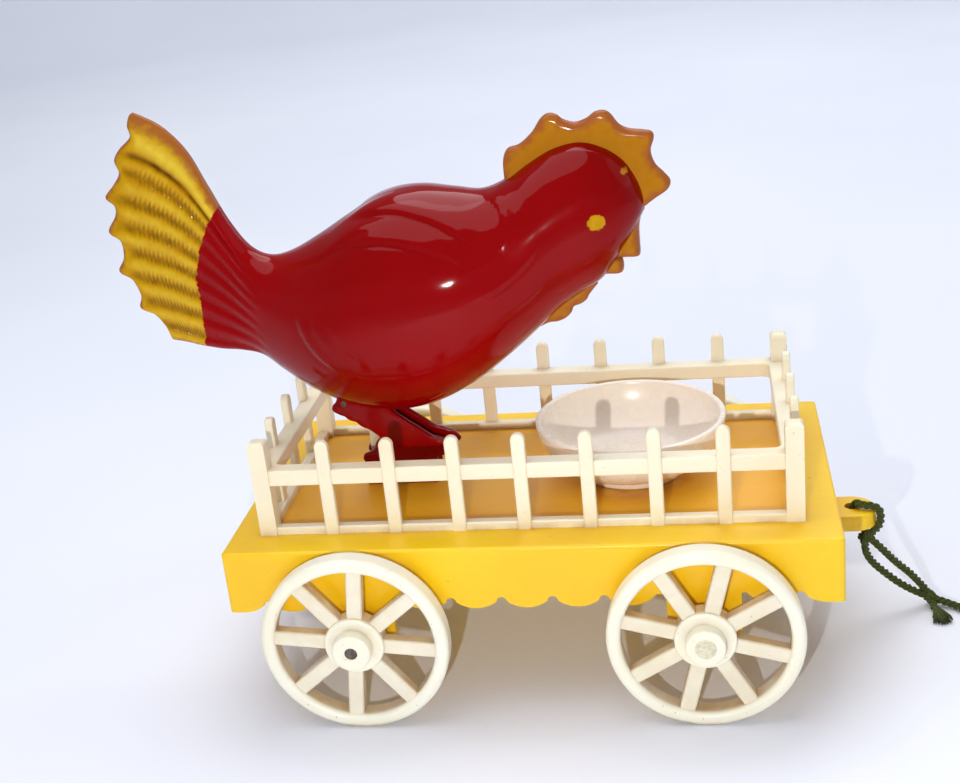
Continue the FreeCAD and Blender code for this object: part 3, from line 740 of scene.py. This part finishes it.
def rooster_skin():
    """One half of the rooster. Along each section, a point runs from the upper to the lower
    outline as a cosine, and bulges sideways as a superellipse; the tail's back edge adds its
    scallops, which fade forwards."""
    u = section_rows()
    parts = through(SECTIONS, u)
    upper, lower = parts[:, 0:2], parts[:, 2:4]
    half_width, square = np.maximum(parts[:, 4], 0.05), parts[:, 5]
    middle, chord = (upper + lower) / 2, (upper - lower) / 2
    long = np.linalg.norm(chord, axis=1)
    lowest = np.pi * np.ones(len(u))
    x_low = lower[:, 0]
    opening = SLOT_HALF * smooth_step(SLOT_FROM - 3, SLOT_FROM, x_low)
    opening = opening * smooth_step(SLOT_TO + 3, SLOT_TO, x_low)
    lowest -= np.arcsin(np.clip(opening / half_width, 0, 0.95))
    angle = lowest[:, None] * np.linspace(0, 1, COLUMNS)[None, :]
    c = np.cos(angle)
    flat = middle[:, None, :] + chord[:, None, :] * c[..., None]
    n = square[:, None]
    bulge = np.maximum(1 - np.abs(c) ** n, 0) ** (1 / n)
    y = half_width[:, None] * bulge
    s = (1 - c) / 2
    edge_z = SECTIONS[0, 1] + (SECTIONS[0, 3] - SECTIONS[0, 1]) * s
    edge = through(TAIL_EDGE, np.linspace(0, len(TAIL_EDGE) - 1, 500))
    edge_x = np.interp(-edge_z, -edge[:, 1], edge[:, 0])
    chord_x = SECTIONS[0, 0] + (SECTIONS[0, 2] - SECTIONS[0, 0]) * s
    broad = -11.5 * np.sin(np.pi * np.clip(s, 0, 1)) ** 0.8
    teeth = edge_x - chord_x - broad
    reach = np.clip(1 - u / 4.2, 0, 1)[:, None]
    nearby = np.clip(1 - u / 1.1, 0, 1)[:, None]
    flat[..., 0] += broad * reach ** 1.6 + teeth * nearby ** 2
    back = np.clip(u / 0.22, 0, 1)[:, None]
    y = y * np.sqrt(1 - (1 - back) ** 2)
    return u, s, flat[..., 0], y, flat[..., 1], middle, long


def tail_relief(u, s):
    """Height of the tail's feathers. Eight ridges fan to the scallops as a cosine across the tail;
    below each crest runs a row of short slanting barbs and, in the valley after it, a row of pits,
    both a sine along the feather whose phase differs from feather to feather. A smooth quill with
    one groove lines the upper edge."""
    feather = 7.2 * (s - 0.17) / 0.83
    across = feather - np.floor(feather)
    fade = smooth_step(5.8, 3.6, u)[:, None] * smooth_step(0.05, 0.5, u)[:, None]
    band = smooth_step(0.15, 0.2, s) * smooth_step(1.0, 0.96, s)
    ridge = 0.5 + 0.5 * np.cos(2 * np.pi * feather)
    run = BARB_RUN * u[:, None] / BARB_PITCH + 0.37 * np.floor(feather)
    barb = np.maximum(np.sin(2 * np.pi * (run + 1.1 * across)), -0.3)
    pit = np.maximum(np.sin(2 * np.pi * (run - 0.8 * across + 0.3)), 0)
    barb_row = np.exp(-((across - 0.3) / 0.15) ** 2)
    pit_row = np.exp(-((across - 0.66) / 0.11) ** 2)
    fine = smooth_step(0.35, 0.9, u)[:, None]
    uneven = 0.8 + 0.2 * np.sin(1.9 * run + 4.0 * across + 2.0 * feather)
    rows = (0.24 * barb * barb_row - 0.22 * pit * pit_row) * fine * uneven
    quill = 0.5 * np.exp(-((s - 0.09) / 0.035) ** 2) - 0.45 * np.exp(-((s - 0.15) / 0.016) ** 2)
    return ((0.5 * (ridge - 0.5) + rows) * band + quill) * fade


def curve_field(x, z, knots):
    """Distance from each (x, z) to a smooth line through the knots, and how far along it, 0 to 1."""
    line = through(np.array(knots), np.linspace(0, len(knots) - 1, 60))
    best = np.full(x.shape, 1e9)
    place = np.zeros(x.shape)
    side = np.zeros(x.shape)
    for i in range(len(line) - 1):
        ax, az = line[i]
        dx, dz = line[i + 1] - line[i]
        t = np.clip(((x - ax) * dx + (z - az) * dz) / (dx * dx + dz * dz), 0, 1)
        px, pz = x - ax - t * dx, z - az - t * dz
        d = np.hypot(px, pz)
        nearer = d < best
        best = np.where(nearer, d, best)
        place = np.where(nearer, (i + t) / (len(line) - 1), place)
        side = np.where(nearer, np.sign(dx * pz - dz * px), side)
    return best, place, side


# Feather edges moulded into each flank: (x, z) knots, depth, softness on the raised side.
WING_LINES = (
    (((-44.0, 119.5), (-37.5, 121.6), (-29.0, 122.6), (-20.0, 120.4), (-12.0, 116.4),
      (-7.4, 112.6)), 0.75, 4.0),
    (((-48.0, 113.6), (-40.0, 115.8), (-30.0, 116.4), (-20.5, 114.2), (-11.0, 110.0)), 0.65, 4.5),
    (((-56.0, 109.6), (-48.0, 112.6), (-40.0, 117.4), (-34.0, 119.4)), 0.35, 3.0),
    (((-58.0, 104.8), (-50.0, 107.8), (-42.0, 111.4)), 0.3, 3.0),
    (((-56.5, 100.0), (-55.6, 94.0), (-51.6, 87.6), (-45.0, 82.0)), 0.6, 3.5),
    (((-52.8, 100.6), (-51.4, 94.0), (-47.0, 88.0)), 0.35, 3.0),
    (((-47.6, 97.0), (-44.6, 91.0), (-39.0, 86.0)), 0.25, 3.0),
    (((-7.0, 125.0), (-3.0, 122.0), (-1.2, 117.0), (-4.0, 113.0)), 0.45, 2.4),
    (((-2.6, 124.6), (0.4, 120.6), (1.4, 116.4)), 0.35, 2.2),
    (((-10.0, 101.0), (-3.0, 103.6), (3.4, 108.4), (6.6, 113.0)), 0.22, 2.4),
    (((-3.0, 96.0), (4.0, 99.6), (9.0, 105.0)), 0.2, 2.2),
)


def flank_relief(x, z):
    """Feather edges as low steps: raised on one side of each line, falling away over its softness,
    with a fine groove at the line, and fading at both ends."""
    height = np.zeros(x.shape)
    for knots, depth, soft in WING_LINES:
        d, place, side = curve_field(x, z, knots)
        ends = smooth_step(0.0, 0.25, place) * smooth_step(1.0, 0.75, place)
        step = np.where(side > 0, np.exp(-(d / soft) ** 2), -0.55 * np.exp(-(d / 0.9) ** 2))
        blend = np.tanh(d / 0.35)
        height += depth * ends * step * blend
    return height


def make_rooster():
    """Each half is a skin with its relief, an inner wall a wall's thickness in, and strips that close
    the two along their four edges. The right half is the left one mirrored."""
    u, s, x, y, z, middle, long = rooster_skin()
    rows, cols = x.shape
    relief = tail_relief(u, s)
    body = smooth_step(4.6, 6.2, u)[:, None]
    flank = flank_relief(x, z) * body * smooth_step(1.5, 6.0, y)
    height = relief + flank
    along_u = np.stack([np.gradient(a, axis=0) for a in (x, y, z)], -1)
    along_v = np.stack([np.gradient(a, axis=1) for a in (x, y, z)], -1)
    normal = np.cross(along_v, along_u)
    normal /= np.maximum(np.linalg.norm(normal, axis=-1), 1e-9)[..., None]
    normal *= np.where(normal[..., 1:2] < 0, -1, 1)
    seam = smooth_step(0.0, 0.9, y)
    outer = np.stack([x, y, z], -1) + normal * (height * seam)[..., None]
    outer[..., 1] = np.maximum(outer[..., 1], 0.04)
    shrink = 1 - np.clip(WALL / np.maximum(long, 0.1), 0, 1)[:, None]
    inner_x = middle[:, None, 0] + (x - middle[:, None, 0]) * shrink
    inner_z = middle[:, None, 1] + (z - middle[:, None, 1]) * shrink
    inner_y = np.maximum(y - WALL, 0.04)
    by_slot = (y[:, -1:] > 1.0) & (np.arange(cols)[None, :] > cols - 4)
    inner_y = np.where(by_slot, np.minimum(y, inner_y + 1.2), inner_y)
    inner = np.stack([inner_x, inner_y, inner_z], -1)
    block = rows * cols
    outer_faces = grid_faces(rows, cols)
    inner_faces = grid_faces(rows, cols, block)[:, ::-1]
    r = np.arange(rows - 1)
    c = np.arange(cols - 1)
    top = np.stack([r * cols, (r + 1) * cols, block + (r + 1) * cols, block + r * cols], 1)
    low = np.stack([r * cols, block + r * cols, block + (r + 1) * cols, (r + 1) * cols], 1) + cols - 1
    back = np.stack([c, block + c, block + c + 1, c + 1], 1)
    front_row = (rows - 1) * cols
    front = np.stack([c, c + 1, block + c + 1, block + c], 1) + front_row
    faces = np.vstack([outer_faces, inner_faces, top, low, back, front])
    material = glossy_red("painted_red_shell", GOLD)
    from_ends = np.minimum(0.3 * s, 1 - s) * 2 * long[:, None]
    tail_rim = np.minimum(from_ends, np.maximum(u[:, None] * 7.0, 0.0))
    values = {
        "relief": np.concatenate([height.ravel(), np.zeros(block)]),
        "rim": np.concatenate([tail_rim.ravel(), np.full(block, 9.0)]),
    }
    for side, sign in (("left", 1), ("right", -1)):
        points = np.concatenate([outer.reshape(-1, 3), inner.reshape(-1, 3)]) * np.array([1, sign, 1])
        piece = mesh_piece("rooster_half_" + side, points, faces if sign > 0 else faces[:, ::-1])
        for name, data in values.items():
            store_values(piece, name, data)
        point_values(piece, "paint_edge", paint_edge)
        tidy_mesh(piece.data, 1e-7, True)
        piece.data.shade_smooth()
        piece.data.materials.append(material)
        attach(piece, "rooster")
        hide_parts("rooster_" + side + "_shell")


PAINT_LINE = np.array(((-75.0, 128.0), (-76.4, 125.6), (-80.0, 120.6), (-83.4, 114.0), (-85.6, 106.0),
                       (-85.4, 97.4), (-86.4, 87.6), (-86.6, 84.0)))
EYE_SPOT = (21.1, 117.3, 2.2, 1.9)
SPECK = (28.2, 128.0, 0.8, 0.7)


def paint_edge(x, y, z):
    """How far, in millimetres, a point lies inside the gold paint; below 0 is bare red."""
    tail = np.interp(-z, -PAINT_LINE[:, 1], PAINT_LINE[:, 0]) - x
    spots = []
    for sx, sz, rx, rz in (EYE_SPOT, SPECK):
        spots.append((1 - np.hypot((x - sx) / rx, (z - sz) / rz)) * min(rx, rz))
    return np.maximum(np.maximum(tail, spots[0]), np.where(y < 0, spots[1], -9))


# ------------------------ comb, beak, wattle

def moulded_plate(name, outline, inside, half, rim, rows=14):
    """A flat moulding with a rounded rim: points run from the outline to a line inside it, and
    the half thickness swells from nothing as a quarter circle over the rim's width."""
    count = len(outline) * 8
    t = np.linspace(0, len(outline) - 1, count)
    edge = through(outline, t)
    core = through(inside, np.linspace(0, len(inside) - 1, count))
    gap = np.linalg.norm(core - edge, axis=1)
    depth = np.linspace(0, 1, rows) ** 1.7
    flat = edge[:, None, :] + (core - edge)[:, None, :] * depth[None, :, None]
    inward = np.clip(depth[None, :] * gap[:, None] / rim, 0, 1)
    y = half * np.sqrt(1 - (1 - inward) ** 2)
    near = np.stack([flat[..., 0], -y, flat[..., 1]], -1)
    far = np.stack([flat[..., 0], y, flat[..., 1]], -1)[:, 1:][:, ::-1]
    loop = np.concatenate([far, near], 1)
    cols = loop.shape[1]
    faces = grid_faces(count, cols)
    back = np.stack([np.arange(count - 1) * cols, np.arange(count - 1) * cols + cols - 1,
                     np.arange(1, count) * cols + cols - 1, np.arange(1, count) * cols], 1)
    ends = [list(range(cols)), list(range(count * cols - 1, (count - 1) * cols - 1, -1))]
    all_faces = faces_array(faces.tolist() + back.tolist() + ends)
    piece = mesh_piece(name, loop.reshape(-1, 3), all_faces, 1e-4, True)
    return piece, edge


def rim_distance(edge):
    """A function of (x, y, z) that gives the distance to the nearest point of an outline in x, z."""
    def measure(x, y, z):
        best = np.full(x.shape, 1e9)
        for px, pz in edge[::2]:
            best = np.minimum(best, np.hypot(x - px, z - pz))
        return best
    return measure


COMB_EDGE = (
    (-2.0, 126.0), (-1.9, 131.6), (-0.5, 134.6), (2.6, 135.6), (5.8, 138.2), (8.2, 141.4),
    (10.2, 142.6), (12.2, 142.2), (13.8, 140.9), (16.6, 140.0), (19.4, 140.7), (21.6, 142.1),
    (23.8, 142.4), (25.5, 141.4), (27.4, 138.8), (29.8, 137.5), (33.4, 136.9), (35.3, 136.3),
    (35.7, 134.7), (34.8, 131.6), (35.7, 128.4), (37.9, 125.9), (39.2, 123.9), (38.5, 121.8),
    (35.3, 119.7), (31.5, 117.0),
)
COMB_CORE = (
    (2.0, 122.0), (5.0, 126.0), (11.0, 129.0), (17.5, 130.0), (23.5, 127.6), (27.4, 123.4),
    (28.4, 117.0),
)
WATTLE_EDGE = (
    (4.0, 87.6), (6.4, 88.6), (8.6, 88.8), (10.7, 89.6), (12.3, 91.0), (13.1, 92.6),
    (14.8, 93.2), (16.4, 94.2), (17.4, 95.8), (19.6, 98.4),
)
WATTLE_CORE = ((4.0, 93.0), (9.0, 97.0), (16.0, 101.0))
UPPER_BEAK = (
    (31.8, 116.6), (31.0, 113.0), (30.9, 109.0), (30.9, 106.2), (30.2, 105.1), (27.0, 105.0),
    (23.6, 104.9),
)
UPPER_CORE = ((27.0, 113.0), (26.0, 109.6), (23.6, 107.6))
LOWER_BEAK = ((25.4, 105.6), (26.4, 104.4), (26.5, 102.2), (25.6, 101.0), (22.4, 100.9), (19.6, 100.6))
LOWER_CORE = ((21.6, 105.6), (19.8, 104.4), (18.6, 103.0))


def make_trims():
    """Comb, wattle and beak, each one plate across both halves, gold all over."""
    gold = glossy_red("gold_paint_on_red", BROWN_GOLD)
    trims = (
        ("comb", COMB_EDGE, COMB_CORE, 1.9, 1.6),
        ("wattle", WATTLE_EDGE, WATTLE_CORE, 1.9, 1.3),
        ("upper_beak", UPPER_BEAK, UPPER_CORE, 3.4, 3.0),
        ("lower_beak", LOWER_BEAK, LOWER_CORE, 2.8, 2.2),
    )
    for name, outline, core, half, rim in trims:
        piece, edge = moulded_plate(name, outline, core, half, rim)
        distance = rim_distance(edge)
        point_values(piece, "rim", lambda x, y, z: 0.42 * distance(x, y, z))
        point_values(piece, "relief", lambda x, y, z: 0 * x + 0.05)
        point_values(piece, "paint_edge", lambda x, y, z: 0 * x + 5.0)
        piece.data.materials.append(gold)
        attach(piece, "rooster")


# ------------------------ legs, bowl, moulding scar

LEG_BACK = (
    (-49.6, 74.0), (-51.7, 71.9), (-52.5, 70.2), (-53.5, 69.1), (-53.7, 67.9), (-52.2, 66.8),
    (-50.8, 66.2), (-49.6, 65.1), (-47.9, 64.5), (-46.4, 63.1), (-44.6, 62.2), (-42.9, 60.8),
    (-41.8, 59.5), (-43.0, 57.9), (-43.7, 56.1), (-45.0, 55.3), (-46.5, 54.7), (-47.0, 53.4),
    (-46.6, 52.0), (-46.6, 46.05),
)
LEG_FRONT = (
    (-39.2, 74.0), (-37.6, 68.2), (-34.3, 64.8), (-30.4, 61.9), (-27.2, 59.4), (-24.6, 58.5),
    (-22.3, 57.4), (-20.8, 55.6), (-22.3, 54.3), (-25.6, 53.5), (-26.9, 51.9), (-26.6, 50.0),
    (-26.6, 46.05),
)
LEG_INNER, LEG_OUTER, LEG_ROUND = 2.4, 4.5, 1.0


def even_line(knots, count):
    """Points evenly spaced by distance along a smooth line through the knots."""
    fine = through(knots, np.linspace(0, len(knots) - 1, 900))
    run = np.concatenate([[0], np.cumsum(np.linalg.norm(np.diff(fine, axis=0), axis=1))])
    places = np.linspace(0, run[-1], count)
    return np.stack([np.interp(places, run, fine[:, i]) for i in range(2)], 1)


def make_legs():
    """Each leg is a stack of cross-sections from its back edge to its front edge: as thick as the
    leg, and rounded at both edges as a quarter circle. A low swelling runs down its middle."""
    rows = 150
    back, front = even_line(LEG_BACK, rows), even_line(LEG_FRONT, rows)
    wide = np.linalg.norm(front - back, axis=1)[:, None]
    turn = np.linspace(0, math.pi / 2, 7)
    into = LEG_ROUND * (1 - np.cos(turn))
    middle = np.linspace(0.2, 0.8, 5)[None, :] * np.ones((rows, 1))
    place = np.concatenate([into[None, :] / wide, middle, 1 - into[::-1][None, :] / wide], 1)
    bulge = np.concatenate([np.sin(turn), np.ones(5), np.sin(turn[::-1])])[None, :]
    half = (LEG_OUTER - LEG_INNER) / 2
    y = half * bulge * np.ones((rows, 1))
    place = np.concatenate([place, place[:, -2:0:-1]], 1)
    y = np.concatenate([y, -y[:, -2:0:-1]], 1)
    flat = back[:, None, :] + (front - back)[:, None, :] * place[..., None]
    cols = y.shape[1]
    faces = grid_faces(rows, cols, wrap=True).tolist()
    faces += [list(range(cols)), list(range(rows * cols - 1, (rows - 1) * cols - 1, -1))]
    legs = glossy_red("dark_red_legs")
    for side, sign in (("left", 1), ("right", -1)):
        points = np.stack([flat[..., 0], y + sign * (LEG_INNER + half), flat[..., 1]], -1)
        piece = mesh_piece(side + "_leg_moulding", points.reshape(-1, 3), faces_array(faces), 0, True)
        piece.data.materials.append(legs)
        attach(piece, "cart")
        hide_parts(side + "_leg")


BOWL_X, BOWL_RADIUS, BOWL_FOOT, BOWL_LOW, BOWL_RIM, BOWL_WALL = 25.5, 25.0, 13.6, 48.4, 61.6, 1.5
DECK_TOP = 46.0
AXLE_X, AXLE_HEIGHT, RIM_INNER = 43.1, 23.8, 20.2


def bowl_flank(inset, rise):
    """The bowl's side from foot to rim as (radius, z): a part of an ellipse swelling outwards."""
    angle = np.radians(np.linspace(8, 84, 40))
    r = BOWL_FOOT - 1 + (BOWL_RADIUS - BOWL_FOOT + 1) * np.sin(angle) / np.sin(angle[-1]) - inset
    fall = (np.cos(angle[0]) - np.cos(angle)) / (np.cos(angle[0]) - np.cos(angle[-1]))
    return np.stack([r, BOWL_LOW + rise + (BOWL_RIM - BOWL_LOW - rise) * fall], 1)


def make_gate_scars():
    """The sprue's scar on each front boss: a low disc with a raised broken rim, its height a ring
    of cosines over the radius, turned about the axle."""
    s = Shader("sprue_scar")
    worn = s.grey(s.noise(1400.0, 4.0, 0.6), 0.35, 0.65)
    s.set(Base_Color=s.mix(worn, hue(232, 226, 202), hue(206, 198, 160)), Roughness=0.55)
    s.bump(s.noise(1800.0, 3.0), 0.6, 0.0002)
    radii = np.linspace(0, 2.7, 14)
    around = np.linspace(0, 2 * math.pi, 48, endpoint=False)
    ring = 0.1 * np.exp(-((radii - 1.9) / 0.4) ** 2)[:, None] * (1 + 0.5 * np.sin(3 * around + 0.6))
    rise = ring + 0.06 * smooth_step(2.7, 2.4, radii)[:, None]
    for side, sign in (("left", 1), ("right", -1)):
        face = abs(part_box("front_" + side + "_wheel")[0 if sign < 0 else 1].y) / MM
        points = np.stack([AXLE_X + radii[:, None] * np.cos(around), sign * (face - 0.03 + rise),
                           AXLE_HEIGHT + radii[:, None] * np.sin(around)], -1)
        faces = grid_faces(len(radii), 48, wrap=True)
        if sign > 0:
            faces = faces[:, ::-1]
        scar = mesh_piece(side + "_sprue_scar", points.reshape(-1, 3), faces, 1e-3)
        scar.data.materials.append(s.material)
        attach(scar, "front_wheelset")


def make_bowl(finish):
    """The bowl: one profile, under the foot, up the outside, over a rolled rim and down the inside,
    turned about its middle."""
    foot = [(0, 0.02), (11.0, 0.02), (12.9, 0.05), (13.4, 0.25), (13.6, 0.7), (13.65, 1.4), (13.8, 2.0)]
    foot = np.array(foot) + np.array([0, DECK_TOP])
    turn = np.linspace(0.25, math.pi - 0.25, 9)
    lip = np.stack([BOWL_RADIUS - 0.75 + 0.75 * np.cos(turn), BOWL_RIM + 0.5 * np.sin(turn)], 1)
    inner = bowl_flank(BOWL_WALL, 0.6)[::-1]
    floor = np.array([(12.0, 48.75), (10.6, 48.62), (8.0, 48.6), (4.0, 48.6), (0.0, 48.6)])
    profile = np.concatenate([foot, bowl_flank(0, 0)[:-1], lip, inner[1:], floor])
    around = np.linspace(0, 2 * math.pi, 144, endpoint=False)
    points = np.stack([BOWL_X + profile[:, :1] * np.cos(around), profile[:, :1] * np.sin(around),
                       profile[:, 1:] + 0 * around], -1)
    faces = grid_faces(len(profile), 144, wrap=True)
    dish = mesh_piece("turned_feed_bowl", points.reshape(-1, 3), faces, 1e-3, True)
    dish.data.materials.append(finish)
    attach(dish, "cart")
    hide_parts("feed_bowl")


# ------------------------ finishes of the CAD pieces

def finish_nodes():
    """Materials of the pieces kept from the CAD, and the bowl and scars that go with them."""
    # The fifth colour, where given, darkens corners: partly grime, partly painted shade.
    fence = moulded_plastic("cream_fence", hue(249, 241, 214), hue(243, 229, 194), 0.34,
                            hue(176, 132, 70), 0.1)
    bowl = moulded_plastic("ivory_bowl", hue(252, 239, 222), hue(249, 234, 214), 0.24,
                           None, 0.12, waves=0.05)
    # The wheels' recesses are painted tan-brown as shade.
    wheels = moulded_plastic("ivory_wheels", hue(249, 246, 228), hue(243, 236, 210), 0.34,
                             hue(160, 128, 84), 0.08, shaded_recesses=True)
    # The deck's floor inside the fence is painted darker amber: partly aging, partly painted shade.
    deck = moulded_plastic("yellow_deck", hue(252, 207, 0), hue(250, 195, 6), 0.36,
                           hue(186, 118, 20), 0.08, aged_and_shaded=True)
    rod = moulded_plastic("rod_plastic", hue(240, 228, 196), hue(226, 208, 168), 0.4,
                          hue(120, 90, 60))
    wire = drawn_wire()
    make_bowl(bowl)
    make_gate_scars()
    finishes = {
        "cart_deck": deck, "fence": fence,
        "pivot_pin": wire, "link_pin": wire, "rear_axle": wire, "front_axle": wire, "push_rod": rod,
        "rear_left_wheel": wheels, "rear_right_wheel": wheels, "front_left_wheel": wheels,
        "front_right_wheel": wheels,
    }
    for node, material in finishes.items():
        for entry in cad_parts[node].material_slots:
            entry.material = material


make_camera()
make_cords()
make_stage()
make_lights()
make_rooster()
make_trims()
make_legs()
finish_nodes()
